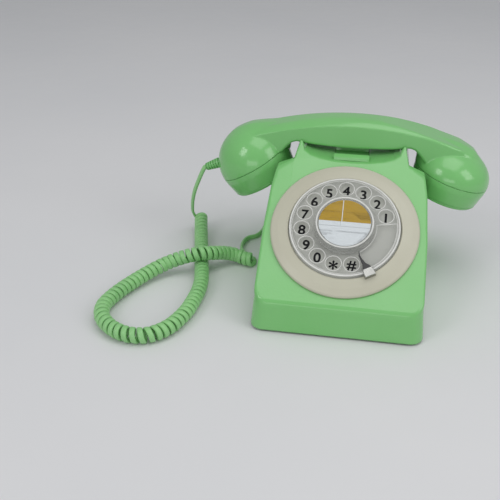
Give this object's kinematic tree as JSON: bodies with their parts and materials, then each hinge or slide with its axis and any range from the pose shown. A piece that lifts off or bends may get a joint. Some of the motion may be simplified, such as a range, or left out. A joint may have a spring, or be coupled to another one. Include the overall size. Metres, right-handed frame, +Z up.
{
  "type": "rotary desk telephone",
  "caption": "Light green rotary desk telephone: sloped case with a clear finger wheel, domed handset across the cradle, and a curly cord lying in a loop beside it.",
  "frame": {"origin": "on the table under the middle of the case", "axes": "+X to the right as seen from the front, along the handset; -Y to the front, where the dial is; +Z up"},
  "size_m": [0.3052, 0.2645, 0.1306],
  "materials": {
    "green": "fresh green moulded plastic, satin gloss",
    "green_cord": "fresh green cord jacket, satin",
    "bezel": "cream moulded dial surround",
    "plate": "grey number plate, satin",
    "clear": "clear moulded finger wheel and cover",
    "label": "card printed gold above and white below, no lettering",
    "chrome": "bright plated steel",
    "steel": "plain steel",
    "base": "dark moulded base",
    "rubber": "black rubber",
    "brass": "brass",
    "nylon": "off-white nylon",
    "winding": "lacquered copper winding",
    "board": "green circuit board",
    "black": "black moulded plastic"
  },
  "bodies": {
    "base": {"case_shell": "green", "base_plate": "base", "rubber_feet": "rubber", "case_screws": "steel", "dial_bezel": "bezel", "number_plate": "plate", "finger_stop": "chrome", "dial_frame": "steel", "dial_back_plate": "steel", "dial_pillars": "steel", "return_spring": "steel", "governor_cup": "steel", "pulse_contacts": "brass", "hook_spring": "steel", "hook_guide": "black", "hook_switch": "black", "gong_left": "brass", "gong_right": "brass", "gong_posts": "steel", "gong_screws": "steel", "ringer_plate": "steel", "ringer_coil": "winding", "ringer_yoke": "steel", "clapper_pin": "steel", "circuit_board": "board", "board_screws": "steel", "board_parts": "black", "line_jack": "black", "base_gland": "green", "cord_tail_handset": "green_cord", "cord_coil": "green_cord", "cord_tail_base": "green_cord"},
    "dial_rotor": {"finger_wheel": "clear", "label_card": "label", "label_cover": "clear", "dial_shaft": "steel", "dial_gear": "nylon"},
    "governor": {"governor_shaft": "steel", "governor_pinion": "nylon", "governor_rotor": "brass", "pulse_cam": "black"},
    "hook": {"hook_bar": "green"},
    "clapper": {"clapper": "steel"},
    "handset": {"handset_shell": "green", "mouth_cap": "green", "ear_cap": "green", "transmitter": "steel", "receiver": "steel", "grip_weight": "steel", "handset_gland": "green"}
  },
  "joints": [
    {"name": "dial_turn", "type": "hinge", "parent": "base", "child": "dial_rotor", "pos_m": [0, -0.04634, 0.0647], "axis": [0, 0.5878, -0.809], "range_deg": [0, 344], "stiffness_Nm_per_rad": 0.004, "springref_deg": -17.19},
    {"name": "governor_spin", "type": "hinge", "parent": "base", "child": "governor", "pos_m": [0.0243, -0.04634, 0.0647], "axis": [0, 0.5878, -0.809], "range_deg": [-1032, 0]},
    {"name": "handset_lift", "type": "slide", "parent": "base", "child": "handset", "axis": [0, 0, 1], "range_m": [0, 0.06]},
    {"name": "hook_travel", "type": "slide", "parent": "base", "child": "hook", "axis": [0, 0, 1], "range_m": [0, 0.004], "deforming": ["hook_spring"]},
    {"name": "clapper_swing", "type": "hinge", "parent": "base", "child": "clapper", "pos_m": [0, 0.012, 0.01], "axis": [0, 0, 1], "range_deg": [-2.2, 2.2], "stiffness_Nm_per_rad": 0.002}
  ],
  "couplings": [
    {"joint": "governor_spin", "follows": "dial_turn", "ratio": -3},
    {"joint": "hook_travel", "follows": "handset_lift", "ratio": 0.0666}
  ]
}
